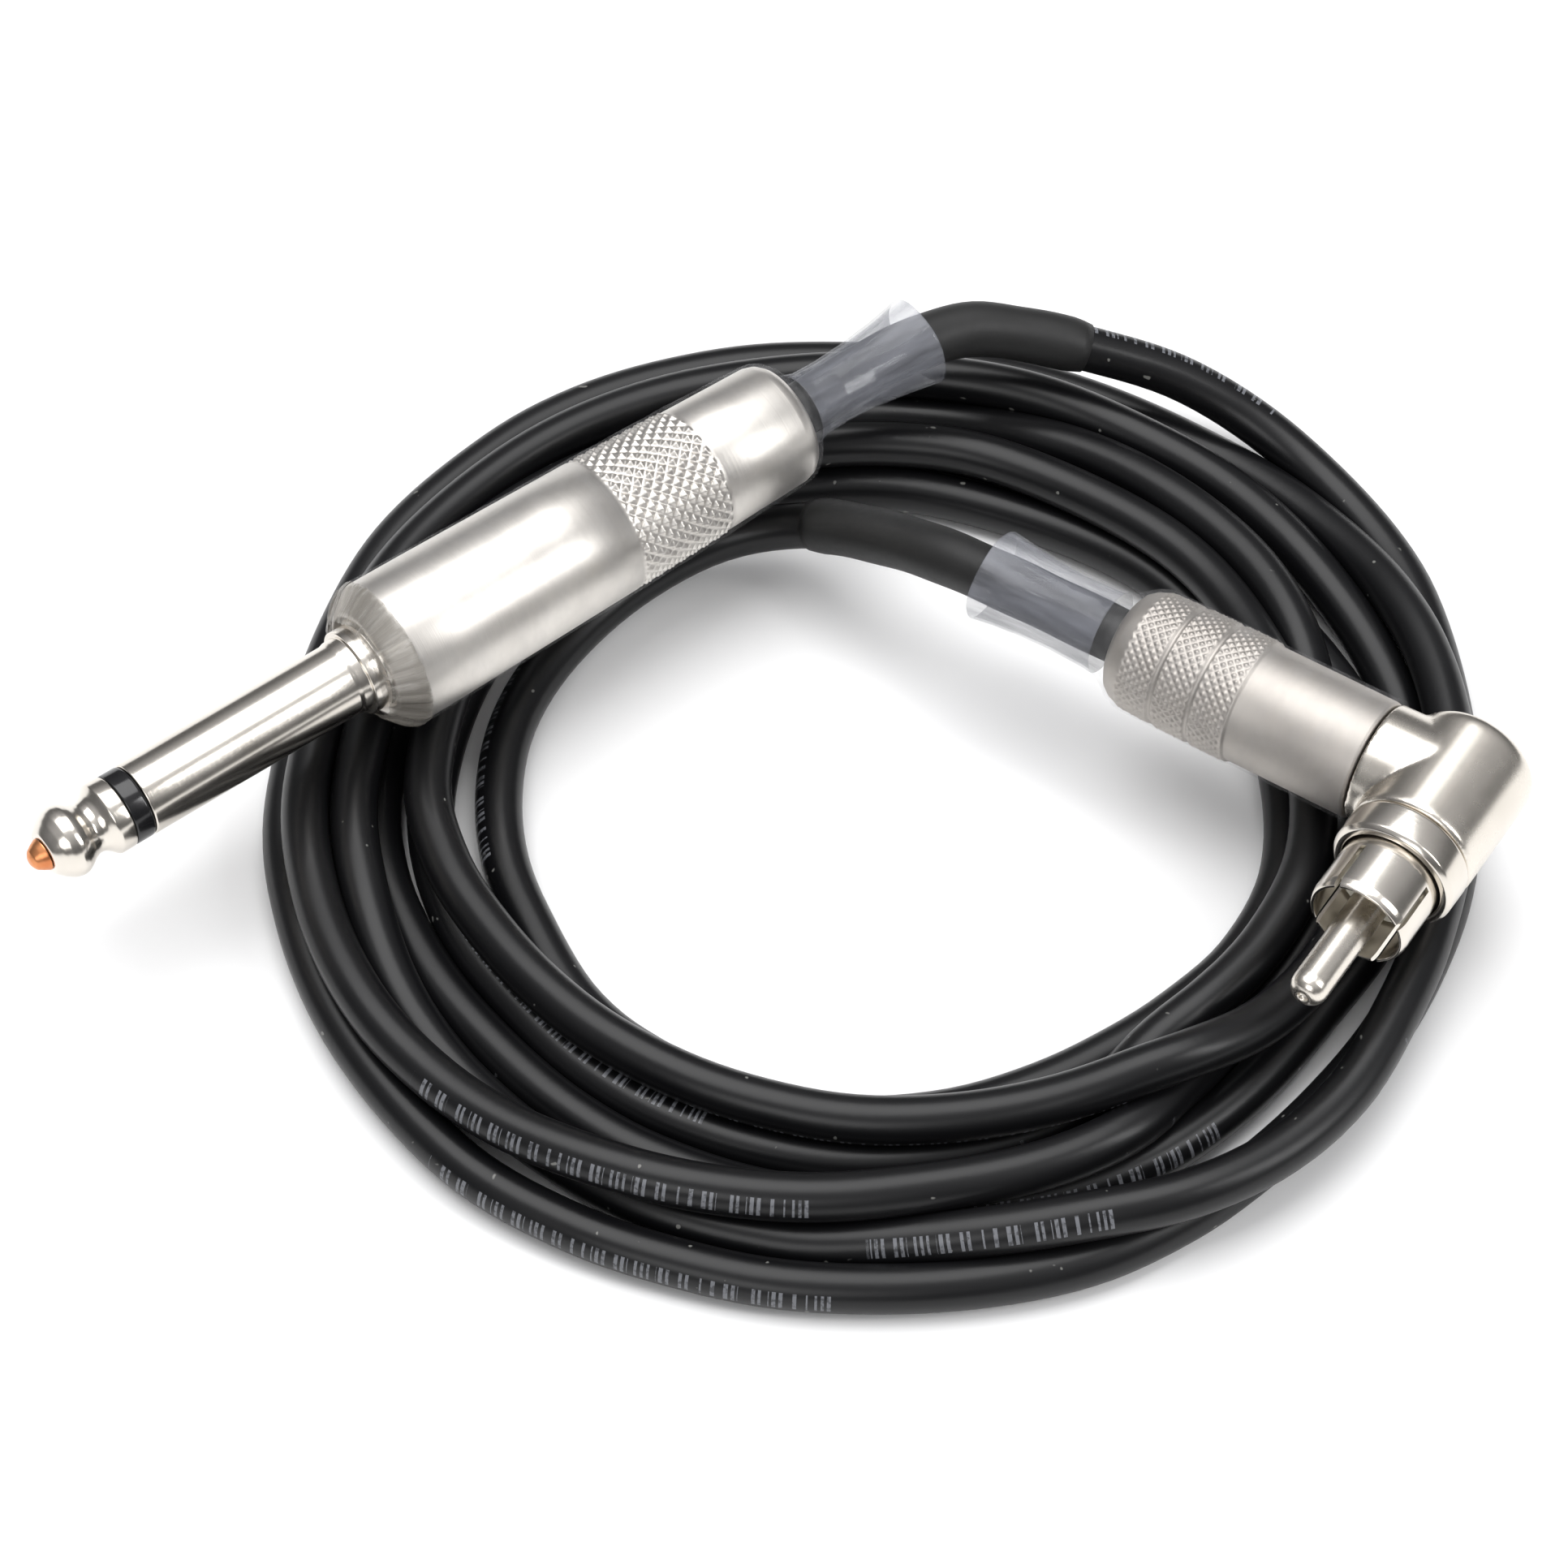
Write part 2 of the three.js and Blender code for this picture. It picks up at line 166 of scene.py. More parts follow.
# The seven turns, from the phone plug's end to the phono plug's: (degrees round the coil, radius, height).
LOW, HIGH = 2.0, 5.5
TURNS = [
    [(8, 49.9, LOW), (-10, 48.7, LOW), (-20, 48.2, LOW), (-30, 47.8, LOW), (-40, 47.5, LOW), (-50, 47.6, LOW),
     (-60, 48.0, LOW), (-72, 48.0, LOW), (-97, 47.6, LOW), (-110, 48.0, LOW), (-120, 48.5, LOW),
     (-132, 48.9, LOW), (-150, 48.5, LOW), (-165, 48.4, LOW), (-180, 48.4, LOW), (-212, 49.8, LOW),
     (-230, 50.7, LOW), (-240, 51.0, LOW), (-250, 50.7, LOW), (-262, 50.1, LOW), (-285, 49.6, LOW)],
    [(56, 49.5, LOW), (41, 49.8, 3.6), (18, 49.4, HIGH), (-2, 48.7, 5.9), (-20, 48.3, 6.0), (-30, 48.6, 6.0),
     (-40, 49.4, 5.9), (-50, 49.4, 5.9), (-60, 48.6, 6.0), (-70, 46.8, 5.6), (-80, 45.4, 4.4),
     (-90, 44.2, 3.0), (-100, 43.7, LOW),
     (-115, 42.9, LOW), (-139, 41.6, 2.2), (-152, 42.4, 3.8), (-165, 42.5, 5.2), (-180, 42.4, 5.7),
     (-212, 42.6, 5.4), (-245, 43.0, 3.4), (-275, 42.4, 2.4)],
    [(66, 41.2, 4.4), (50, 40.4, HIGH), (33, 40.4, HIGH), (14, 40.4, 4.2), (0, 40.2, 2.4), (-14, 39.6, LOW),
     (-28, 38.0, LOW), (-38, 37.3, 2.2), (-45, 37.8, 3.2), (-52, 38.9, 4.6), (-60, 40.6, 5.4),
     (-70, 41.3, 5.8), (-84, 41.6, 5.9),
     (-97, 42.5, 5.8), (-110, 43.6, 5.6), (-120, 44.5, HIGH), (-130, 45.5, HIGH), (-140, 46.3, HIGH),
     (-150, 46.9, 5.6), (-165, 47.0, 5.6), (-180, 46.8, 5.6), (-212, 46.6, 5.6), (-245, 46.0, HIGH),
     (-275, 45.0, HIGH)],
    [(52, 44.8, HIGH), (34, 44.9, HIGH), (18, 44.6, 4.4), (-4, 44.0, 2.6), (-18, 42.6, LOW), (-30, 41.0, LOW),
     (-40, 40.6, LOW), (-50, 40.6, LOW), (-60, 41.0, LOW), (-72, 41.0, LOW), (-97, 39.8, LOW),
     (-117, 38.6, LOW), (-140, 38.0, LOW), (-155, 39.2, LOW), (-170, 40.6, LOW), (-185, 40.9, LOW),
     (-212, 40.8, LOW), (-245, 39.8, LOW), (-275, 39.7, LOW)],
    [(46, 39.6, LOW), (26, 40.0, 2.6), (6, 41.0, 4.4), (-14, 41.8, HIGH), (-28, 41.4, 6.0), (-40, 40.8, 6.9),
     (-50, 39.7, 7.8), (-60, 38.0, 7.0), (-70, 36.3, 6.0), (-82, 35.2, 5.6), (-92, 34.7, HIGH),
     (-102, 34.2, HIGH), (-115, 34.0, HIGH), (-130, 34.2, HIGH), (-142, 34.5, HIGH), (-153, 35.0, 5.6),
     (-165, 36.0, 5.8), (-180, 36.7, 5.9), (-212, 36.8, 5.7), (-245, 37.0, 5.6), (-280, 37.2, HIGH)],
    [(45, 37.0, HIGH), (25, 37.4, HIGH), (4, 37.6, HIGH), (-12, 37.6, 5.3), (-28, 36.8, 5.4), (-40, 36.2, 5.0),
     (-50, 35.7, 4.0), (-62, 36.3, 2.4), (-80, 36.4, LOW), (-97, 36.6, LOW), (-121, 36.2, LOW),
     (-146, 35.9, LOW), (-160, 36.7, LOW), (-180, 36.9, LOW), (-212, 36.8, LOW), (-245, 35.9, LOW),
     (-275, 35.7, LOW)],
    [(50, 35.6, LOW), (30, 35.6, LOW), (10, 35.9, LOW), (-12, 36.0, LOW), (-28, 35.1, LOW), (-40, 33.8, LOW),
     (-50, 33.1, LOW), (-63, 32.6, LOW), (-80, 32.6, LOW), (-98, 32.7, LOW), (-121, 32.3, LOW),
     (-138, 31.6, LOW)],
]


def catmull(points, spacing):
    """Points evenly spaced along a centripetal Catmull-Rom curve through the given ones."""
    p = np.array(points, float)
    p = np.vstack([2 * p[0] - p[1], p, 2 * p[-1] - p[-2]])
    line = []
    for i in range(1, len(p) - 2):
        a, b, c, d = p[i - 1], p[i], p[i + 1], p[i + 2]
        t0 = 0.0
        t1 = t0 + math.sqrt(np.linalg.norm(b - a))
        t2 = t1 + math.sqrt(np.linalg.norm(c - b))
        t3 = t2 + math.sqrt(np.linalg.norm(d - c))
        for t in np.linspace(t1, t2, 24, endpoint=False):
            a1 = (t1 - t) / (t1 - t0) * a + (t - t0) / (t1 - t0) * b
            a2 = (t2 - t) / (t2 - t1) * b + (t - t1) / (t2 - t1) * c
            a3 = (t3 - t) / (t3 - t2) * c + (t - t2) / (t3 - t2) * d
            b1 = (t2 - t) / (t2 - t0) * a1 + (t - t0) / (t2 - t0) * a2
            b2 = (t3 - t) / (t3 - t1) * a2 + (t - t1) / (t3 - t1) * a3
            line.append((t2 - t) / (t2 - t1) * b1 + (t - t1) / (t2 - t1) * b2)
    line.append(p[-2])
    return evenly(np.array(line), spacing)


def evenly(line, spacing):
    """The same line with its points about spacing apart."""
    steps = np.linalg.norm(np.diff(line, axis=0), axis=1)
    run = np.concatenate([[0], np.cumsum(steps)])
    count = max(2, int(round(run[-1] / spacing)) + 1)
    at = np.linspace(0, run[-1], count)
    return np.column_stack([np.interp(at, run, line[:, k]) for k in range(3)])


def neighbours(line):
    """Index pairs of route points that lie close together without following each other."""
    apart = line[:, None, :] - line[None, :, :]
    close = (apart ** 2).sum(2) < NEAR ** 2
    first, second = np.nonzero(np.triu(close, 7))
    return first, second


def cord_route():
    """The whole route, eased over a fixed number of rounds: turns that lie close push each other a cord's
    width apart.
    """
    turns = [(r * math.cos(math.radians(a)), r * math.sin(math.radians(a)), z)
             for turn in TURNS for a, r, z in turn]
    points = [*JACK_ROUTE, *turns, *reversed(PHONO_ROUTE)]
    start = catmull(points, EASE_STEP)
    count = len(start)
    head = len(catmull(JACK_ROUTE, EASE_STEP))
    tail = count - len(catmull(PHONO_ROUTE, EASE_STEP))
    index = np.arange(count)
    free = np.clip(np.minimum(index - head, tail - index) / 10, 0, 1)
    line = start.copy()
    gap = 2 * CABLE_R + TURN_GAP
    for step in range(EASE_ROUNDS):
        if step % 20 == 0:
            first, second = neighbours(line)
        apart = line[first] - line[second]
        distance = np.linalg.norm(apart, axis=1) + 1e-9
        overlap = np.clip(gap - distance, 0, None)
        way = apart / distance[:, None]
        stacked = np.abs(apart[:, 2]) > 1.2
        way[stacked, :2] *= 0.3
        way[~stacked, 2] *= 0.4
        push = way * overlap[:, None] * 0.16
        moved = line - start
        np.add.at(moved, first, push)
        np.add.at(moved, second, -push)
        moved[1:-1] += 0.2 * (moved[:-2] + moved[2:] - 2 * moved[1:-1])
        line = start + moved * free[:, None]
        loose = free > 0
        line[loose, 2] = np.clip(line[loose, 2] - 0.004, CABLE_R + 0.02, 10.5)
    return evenly(line, ROUTE_STEP)


ROUTE = cord_route()
ROUTE_RUN = np.concatenate([[0], np.cumsum(np.linalg.norm(np.diff(ROUTE, axis=0), axis=1))])


# ---------------------------------------------------------------- node materials
def new_material(name):
    """A node material with its nodes, links and shader."""
    material = bpy.data.materials.new(name)
    material.use_nodes = True
    nodes = material.node_tree.nodes
    shader = nodes.get("Principled BSDF")
    return material, nodes, material.node_tree.links, shader


def add_node(nodes, kind, **settings):
    node = nodes.new(kind)
    for key, value in settings.items():
        setattr(node, key, value)
    return node


def set_inputs(node, **values):
    for key, value in values.items():
        node.inputs[key.replace("_", " ")].default_value = value
    return node


def noise(nodes, links, coords, scale, detail=4.0, rough=0.55, stretch=None):
    texture = add_node(nodes, "ShaderNodeTexNoise")
    set_inputs(texture, Scale=scale, Detail=detail, Roughness=rough)
    source = coords
    if stretch:
        mapping = add_node(nodes, "ShaderNodeMapping")
        mapping.inputs["Scale"].default_value = stretch
        links.new(coords, mapping.inputs["Vector"])
        source = mapping.outputs["Vector"]
    links.new(source, texture.inputs["Vector"])
    return texture.outputs["Fac"]


def ramp(nodes, links, source, stops):
    node = add_node(nodes, "ShaderNodeValToRGB")
    while len(node.color_ramp.elements) < len(stops):
        node.color_ramp.elements.new(0.5)
    for element, (position, color) in zip(node.color_ramp.elements, stops):
        element.position = position
        element.color = (*color, 1) if len(color) == 3 else (color[0],) * 3 + (1,)
    links.new(source, node.inputs["Fac"])
    return node.outputs["Color"]


def math_node(nodes, links, operation, a, b=None):
    node = add_node(nodes, "ShaderNodeMath", operation=operation)
    for socket, value in zip(node.inputs, (a, b)):
        if value is None:
            continue
        if isinstance(value, (int, float)):
            socket.default_value = value
        else:
            links.new(value, socket)
    return node.outputs[0]


def mix_color(nodes, links, factor, a, b):
    node = add_node(nodes, "ShaderNodeMix", data_type="RGBA")
    for socket, value in ((node.inputs["Factor"], factor), (node.inputs[6], a), (node.inputs[7], b)):
        if isinstance(value, (tuple, float, int)):
            socket.default_value = (*value, 1) if isinstance(value, tuple) and len(value) == 3 else value
        else:
            links.new(value, socket)
    return node.outputs[2]


def bump(nodes, links, height, shader, strength, distance):
    node = add_node(nodes, "ShaderNodeBump")
    set_inputs(node, Strength=strength, Distance=distance)
    links.new(height, node.inputs["Height"])
    links.new(node.outputs["Normal"], shader.inputs["Normal"])


def metal(name, light, dark, rough, spread, smudge, scratch=0.06, turned_marks=0.0):
    """Plated metal: cloudy tint, uneven polish, fine scratches and, on turned pieces, faint lathe lines."""
    material, nodes, links, shader = new_material(name)
    coords = add_node(nodes, "ShaderNodeTexCoord").outputs["Object"]
    cloud = noise(nodes, links, coords, smudge, 5)
    links.new(ramp(nodes, links, cloud, [(0.3, dark), (0.7, light)]), shader.inputs["Base Color"])
    shader.inputs["Metallic"].default_value = 1
    grain = noise(nodes, links, coords, smudge * 9, 3)
    blend = math_node(nodes, links, "ADD", math_node(nodes, links, "MULTIPLY", cloud, 0.6),
                      math_node(nodes, links, "MULTIPLY", grain, 0.4))
    spread_value = math_node(nodes, links, "MULTIPLY", blend, spread)
    links.new(math_node(nodes, links, "ADD", spread_value, rough - spread / 2), shader.inputs["Roughness"])
    fine = noise(nodes, links, coords, 2600, 2, 0.6, (1, 1, 0.2))
    lines = noise(nodes, links, add_node(nodes, "ShaderNodeUVMap", uv_map="turned").outputs["UV"],
                  1, 2, 0.5, (900, 1.5, 1))
    height = math_node(nodes, links, "ADD", math_node(nodes, links, "MULTIPLY", fine, scratch),
                       math_node(nodes, links, "MULTIPLY", lines, turned_marks))
    bump(nodes, links, height, shader, 0.25, 0.00004)
    return material


def plastic(name, light, dark, rough, grain=1800, bumpy=0.2, cloud_scale=90):
    """Plastic or board: cloudy tint, uneven sheen and a fine grain."""
    material, nodes, links, shader = new_material(name)
    coords = add_node(nodes, "ShaderNodeTexCoord").outputs["Object"]
    cloud = noise(nodes, links, coords, cloud_scale, 4)
    links.new(ramp(nodes, links, cloud, [(0.35, dark), (0.65, light)]), shader.inputs["Base Color"])
    fine = noise(nodes, links, coords, grain, 3)
    uneven = math_node(nodes, links, "MULTIPLY", fine, 0.16)
    links.new(math_node(nodes, links, "ADD", uneven, rough - 0.08), shader.inputs["Roughness"])
    bump(nodes, links, fine, shader, bumpy, 0.00005)
    return material


def film(name, tint, alpha_low, alpha_high, rough, along_scale, across_scale):
    """Clear heat-shrink: see-through, with milky streaks along it and a glossy skin."""
    material, nodes, links, shader = new_material(name)
    uv = add_node(nodes, "ShaderNodeUVMap", uv_map="turned").outputs["UV"]
    streak = noise(nodes, links, uv, 1, 3, 0.6, (along_scale, across_scale, 1))
    shader.inputs["Base Color"].default_value = (*tint, 1)
    alpha = ramp(nodes, links, streak, [(0.35, (alpha_low,)), (0.75, (alpha_high,))])
    links.new(alpha, shader.inputs["Alpha"])
    shader.inputs["Roughness"].default_value = rough
    shader.inputs["Specular IOR Level"].default_value = 0.6
    bump(nodes, links, streak, shader, 0.35, 0.0003)
    return material


def jacket(name):
    """Black PVC: soft sheen, faint dust and a row of pale printed marks of uneven width."""
    material, nodes, links, shader = new_material(name)
    coords = add_node(nodes, "ShaderNodeTexCoord").outputs["Object"]
    cloud = noise(nodes, links, coords, 60, 4)
    black = ramp(nodes, links, cloud, [(0.3, (0.0035, 0.0035, 0.0042)), (0.7, (0.0065, 0.0065, 0.0072))])
    speck = noise(nodes, links, coords, 900, 1, 0.4)
    dust = ramp(nodes, links, speck, [(0.77, (0.0,)), (0.80, (1.0,))])
    dusty = mix_color(nodes, links, dust, black, (0.16, 0.16, 0.15))
    uv = add_node(nodes, "ShaderNodeUVMap", uv_map="print").outputs["UV"]
    split = add_node(nodes, "ShaderNodeSeparateXYZ")
    links.new(uv, split.inputs[0])
    run = math_node(nodes, links, "MULTIPLY", split.outputs[0], 100.0)
    side = math_node(nodes, links, "ABSOLUTE", math_node(nodes, links, "MULTIPLY", split.outputs[1], 100.0))
    stroke = math_node(nodes, links, "DIVIDE", run, STROKE_PITCH)
    across = math_node(nodes, links, "FRACT", stroke)
    random = add_node(nodes, "ShaderNodeTexWhiteNoise", noise_dimensions="1D")
    links.new(math_node(nodes, links, "FLOOR", stroke), random.inputs["W"])
    width = math_node(nodes, links, "ADD",
                      math_node(nodes, links, "MULTIPLY", random.outputs["Value"], 0.26), 0.42)
    group = math_node(nodes, links, "FRACT", math_node(nodes, links, "DIVIDE", run, GROUP_PITCH))
    drawn = math_node(nodes, links, "MULTIPLY", math_node(nodes, links, "LESS_THAN", across, width),
                      math_node(nodes, links, "GREATER_THAN", random.outputs["Value"], 0.12))
    drawn = math_node(nodes, links, "MULTIPLY", drawn, math_node(nodes, links, "LESS_THAN", group, 0.70))
    inside = math_node(nodes, links, "MULTIPLY", drawn,
                       math_node(nodes, links, "LESS_THAN", side, PRINT_HALF_HEIGHT))
    bounds = math_node(nodes, links, "MULTIPLY",
                       math_node(nodes, links, "GREATER_THAN", run, 0.0),
                       math_node(nodes, links, "LESS_THAN", run, PRINT_RUN))
    worn = ramp(nodes, links, noise(nodes, links, coords, 2200, 2), [(0.36, (0.35,)), (0.5, (1.0,))])
    marks = math_node(nodes, links, "MULTIPLY", math_node(nodes, links, "MULTIPLY", inside, bounds), worn)
    links.new(mix_color(nodes, links, marks, dusty, (0.15, 0.155, 0.17)), shader.inputs["Base Color"])
    fine = noise(nodes, links, coords, 1500, 3)
    rough = math_node(nodes, links, "ADD", math_node(nodes, links, "MULTIPLY", cloud, 0.14), 0.27)
    links.new(rough, shader.inputs["Roughness"])
    shader.inputs["Specular IOR Level"].default_value = 0.34
    bump(nodes, links, fine, shader, 0.12, 0.00006)
    return material


NICKEL = metal("nickel", (0.80, 0.755, 0.69), (0.70, 0.655, 0.59), 0.20, 0.10, 160, 0.05, 0.35)
BODY_NICKEL = metal("body_nickel", (0.78, 0.735, 0.665), (0.69, 0.645, 0.58), 0.27, 0.12, 140, 0.08, 0.0)
SATIN = metal("satin_nickel", (0.74, 0.71, 0.665), (0.62, 0.59, 0.55), 0.39, 0.12, 180, 0.12, 0.8)
MATT = metal("matt_nickel", (0.52, 0.49, 0.455), (0.44, 0.41, 0.38), 0.52, 0.10, 180, 0.12, 0.6)
COPPER = metal("orange_copper", (0.80, 0.36, 0.16), (0.62, 0.22, 0.09), 0.34, 0.14, 420, 0.2)
BRASS = metal("brass_strip", (0.74, 0.58, 0.30), (0.60, 0.44, 0.20), 0.36, 0.16, 260, 0.2)
GLOSS_BLACK = plastic("gloss_black", (0.012, 0.012, 0.013), (0.006, 0.006, 0.007), 0.16, 900, 0.05)
WHITE = plastic("natural_white", (0.80, 0.78, 0.70), (0.70, 0.67, 0.58), 0.48)
BOARD = plastic("buff_board", (0.66, 0.60, 0.45), (0.55, 0.48, 0.34), 0.75, 1200, 0.4)
BLACK_SHRINK = plastic("black_shrink", (0.014, 0.014, 0.014), (0.008, 0.008, 0.008), 0.52, 1400, 0.3, 120)
JACKET = jacket("black_jacket")
BARREL_FILM = film("barrel_film", (0.60, 0.60, 0.62), 0.03, 0.12, 0.30, 60, 10)
# Nose film: its higher opacity stands for the thicker film gathered in pleats over the cone, and its dark
# brown tint is painted shade that darkens the cone.
NOSE_FILM_PAINTED_SHADE = film("nose_film_painted_shade", (0.30, 0.28, 0.25), 0.30, 0.80, 0.22, 3, 60)
TAIL_FILM = film("tail_film", (0.30, 0.31, 0.35), 0.12, 0.50, 0.14, 10, 12)


# ---------------------------------------------------------------- mesh helpers
def mesh_object(name, vertices, faces, material, uv, matrix):
    """A smooth mesh with its turned UV layer, moved into the frame by matrix."""
    mesh = bpy.data.meshes.new(name)
    mesh.from_pydata([tuple(v) for v in vertices], [], faces)
    layer = mesh.uv_layers.new(name="turned")
    layer.data.foreach_set("uv", np.asarray(uv, float).ravel())
    mesh.transform(matrix)
    mesh.materials.append(material)
    mesh.validate()
    mesh.shade_smooth()
    piece = bpy.data.objects.new(name, mesh)
    bpy.context.collection.objects.link(piece)
    return piece


def rounded(profile, cut=0.12, steps=4):
    """Rounds each inner corner of an open or closed profile over the given distance."""
    p = [np.array(q, float) for q in profile]
    closed = np.allclose(p[0], p[-1])
    if closed:
        p = p[:-1]
    out = []
    count = len(p)
    for i, corner in enumerate(p):
        if not closed and i in (0, count - 1):
            out.append(corner)
            continue
        before, after = p[i - 1], p[(i + 1) % count]
        a = corner + (before - corner) * min(0.45, cut / (np.linalg.norm(before - corner) + 1e-9))
        b = corner + (after - corner) * min(0.45, cut / (np.linalg.norm(after - corner) + 1e-9))
        for t in np.linspace(0, 1, steps):
            out.append((1 - t) ** 2 * a + 2 * t * (1 - t) * corner + t ** 2 * b)
    if closed:
        out.append(out[0])
    return out


def fine_profile(profile, longest):
    """The profile with no step longer than the given one."""
    out = [np.array(profile[0], float)]
    for q in profile[1:]:
        q = np.array(q, float)
        pieces = max(1, int(math.ceil(np.linalg.norm(q - out[-1]) / longest)))
        start = out[-1]
        out.extend(start + (q - start) * (k + 1) / pieces for k in range(pieces))
    return out


def turned(name, profile, material, matrix, segments=96, relief=None, longest=2.0):
    """A turned piece about local +X from (distance, radius) pairs in mm.

    relief(u, angle) adds to the radius.
    """
    profile = fine_profile(profile, longest)
    rows = len(profile)
    angles = np.linspace(0, 2 * math.pi, segments, endpoint=False)
    vertices = []
    rings = []
    for u, r in profile:
        if r < 1e-6:
            rings.append([len(vertices)] * segments)
            vertices.append((u * MM, 0, 0))
            continue
        rings.append(list(range(len(vertices), len(vertices) + segments)))
        for angle in angles:
            radius = r + (relief(u, angle) if relief else 0)
            vertices.append((u * MM, radius * MM * math.cos(angle), radius * MM * math.sin(angle)))
    closed = np.allclose(profile[0], profile[-1]) and profile[0][1] > 0
    if closed:
        rings[-1] = rings[0]
        vertices = vertices[:-segments]
    faces, uv = [], []
    run = np.concatenate([[0], np.cumsum([np.linalg.norm(np.array(profile[k + 1]) - profile[k])
                                          for k in range(rows - 1)])]) / 100
    for k in range(rows - 1):
        for j in range(segments):
            m = (j + 1) % segments
            corners = [(rings[k][j], k, j), (rings[k][m], k, j + 1), (rings[k + 1][m], k + 1, j + 1),
                       (rings[k + 1][j], k + 1, j)]
            face, face_uv = [], []
            for vertex, row, column in corners:
                if vertex not in face:
                    face.append(vertex)
                    face_uv.append((run[row], column / segments))
            if len(face) > 2:
                faces.append(face)
                uv.extend(face_uv)
    piece = mesh_object(name, vertices, faces, material, uv, matrix)
    outward(piece)
    return piece


def outward(piece):
    """Turns every face of the piece to face out."""
    bm = bmesh.new()
    bm.from_mesh(piece.data)
    bmesh.ops.recalc_face_normals(bm, faces=bm.faces)
    bm.to_mesh(piece.data)
    bm.free()


def sharpen(piece, degrees):
    """Keeps edges that turn more than the given angle sharp."""
    piece.data.set_sharp_from_angle(angle=math.radians(degrees))
    return piece


def tube_profile(outer, bore):
    """A closed profile from an outer line and a bore, both given from front to back."""
    return [*outer, *reversed(bore), outer[0]]


def normals_along(line, reference):
    """Two unit normals at each point, the first as close to reference as it can be."""
    tangent = np.gradient(line, axis=0)
    tangent /= np.linalg.norm(tangent, axis=1)[:, None]
    first = reference - tangent * (reference * tangent).sum(1)[:, None]
    first /= np.linalg.norm(first, axis=1)[:, None]
    return first, np.cross(tangent, first)


def sweep(name, line, radii, material, sides, reference=(0.0, 0.0, 1.0), print_run=None):
    """A round tube along a line in mm, closed at its ends; its radius may change along it."""
    radii = np.broadcast_to(radii, len(line))
    first, second = normals_along(line, np.broadcast_to(reference, (len(line), 3)))
    angles = np.linspace(0, 2 * math.pi, sides, endpoint=False)
    vertices = []
    for k, point in enumerate(line):
        for angle in angles:
            offset = radii[k] * (math.cos(angle) * first[k] + math.sin(angle) * second[k])
            vertices.append((point + offset + ORIGIN) * MM)
    faces, print_uv, turned_uv = [], [], []
    run = np.concatenate([[0], np.cumsum(np.linalg.norm(np.diff(line, axis=0), axis=1))])
    for k in range(len(line) - 1):
        for j in range(sides):
            m = (j + 1) % sides
            faces.append((k * sides + j, k * sides + m, (k + 1) * sides + m, (k + 1) * sides + j))
            for row, column in ((k, j), (k, j + 1), (k + 1, j + 1), (k + 1, j)):
                turn = column / sides
                around = (turn - (j >= sides / 2)) * 2 * math.pi * radii[row]
                along_print = print_run[row] if print_run is not None else UNPRINTED
                print_uv.append((along_print / 100, around / 100))
                turned_uv.append((run[row] / 100, turn))
    for row, ends in ((0, range(sides - 1, -1, -1)), (len(line) - 1, range(sides))):
        faces.append([row * sides + j for j in ends])
        for _ in range(sides):
            print_uv.append((UNPRINTED / 100, 0.5))
            turned_uv.append((run[row] / 100, 0))
    mesh = bpy.data.meshes.new(name)
    mesh.from_pydata([tuple(v) for v in vertices], [], faces)
    mesh.uv_layers.new(name="turned").data.foreach_set("uv", np.array(turned_uv).ravel())
    mesh.uv_layers.new(name="print").data.foreach_set("uv", np.array(print_uv).ravel())
    mesh.materials.append(material)
    mesh.shade_smooth()
    piece = bpy.data.objects.new(name, mesh)
    bpy.context.collection.objects.link(piece)
    outward(piece)
    return piece


def put(piece, body, slot, *nodes):
    """Ties a piece to its moving body and the CAD nodes it stands for; the colour slot is not used."""
    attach(piece, body)
    if nodes:
        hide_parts(*nodes)
    return piece


# ---------------------------------------------------------------- the cord
# Where the printed runs start: (turn, degrees round the coil, tilt of the side they face from level outwards
# to up, mm of it that is printed).
PRINTS = [(0, -94, 14, 35), (1, -67, 40, 19), (2, -97, 26, 35), (3, -51, 34, 35), (5, -112, 96, 35),
          (6, -168, 30, 35)]


def print_layout():
    """For each route point: mm from the start of the nearest run of marks, and the way the marks face."""
    angle = np.degrees(np.unwrap(np.arctan2(ROUTE[:, 1], ROUTE[:, 0])))
    first = angle[np.argmin(np.linalg.norm(ROUTE - np.array([47.6, 21.0, 2.1]), axis=1))]
    lap = np.round((first - 24) / 360) * 360
    starts, tilts, lengths = [41.0], [60.0], [PRINT_RUN]
    for turn, degrees, tilt, length in PRINTS:
        wanted = lap + degrees - 360 * turn
        starts.append(float(np.interp(-wanted, -angle[30:], ROUTE_RUN[30:])))
        tilts.append(tilt)
        lengths.append(length)
    shown = list(starts)
    for before, after in zip(shown, shown[1:]):
        spare = int((after - before) / 80) - 1
        for k in range(spare):
            starts.append(before + (after - before) * (k + 1) / (spare + 1))
            tilts.append(HIDDEN_TILT)
            lengths.append(PRINT_RUN)
    order = np.argsort(starts)
    starts, tilts, lengths = (np.array(values)[order] for values in (starts, tilts, lengths))
    keys = np.column_stack([starts, starts + PRINT_RUN]).ravel()
    tilt = np.radians(np.interp(ROUTE_RUN, keys, np.repeat(tilts, 2)))
    outward_way = np.column_stack([ROUTE[:, 0], ROUTE[:, 1], np.zeros(len(ROUTE))])
    outward_way /= np.linalg.norm(outward_way, axis=1)[:, None]
    reference = outward_way * np.cos(tilt)[:, None] + np.array([0, 0, 1.0]) * np.sin(tilt)[:, None]
    gap = ROUTE_RUN[:, None] - starts[None, :]
    nearest = np.argmin(np.abs(gap - PRINT_RUN / 2), axis=1)
    at = gap[np.arange(len(ROUTE)), nearest]
    return np.where(at > lengths[nearest], at + 100, at), reference


PRINT_AT, PRINT_WAY = print_layout()
cord = sweep("cord", ROUTE, CABLE_R, JACKET, 28, PRINT_WAY, PRINT_AT)
put(cord, FIXED, "jacket", "cable_coil", "cable_jack_end", "cable_phono_end")


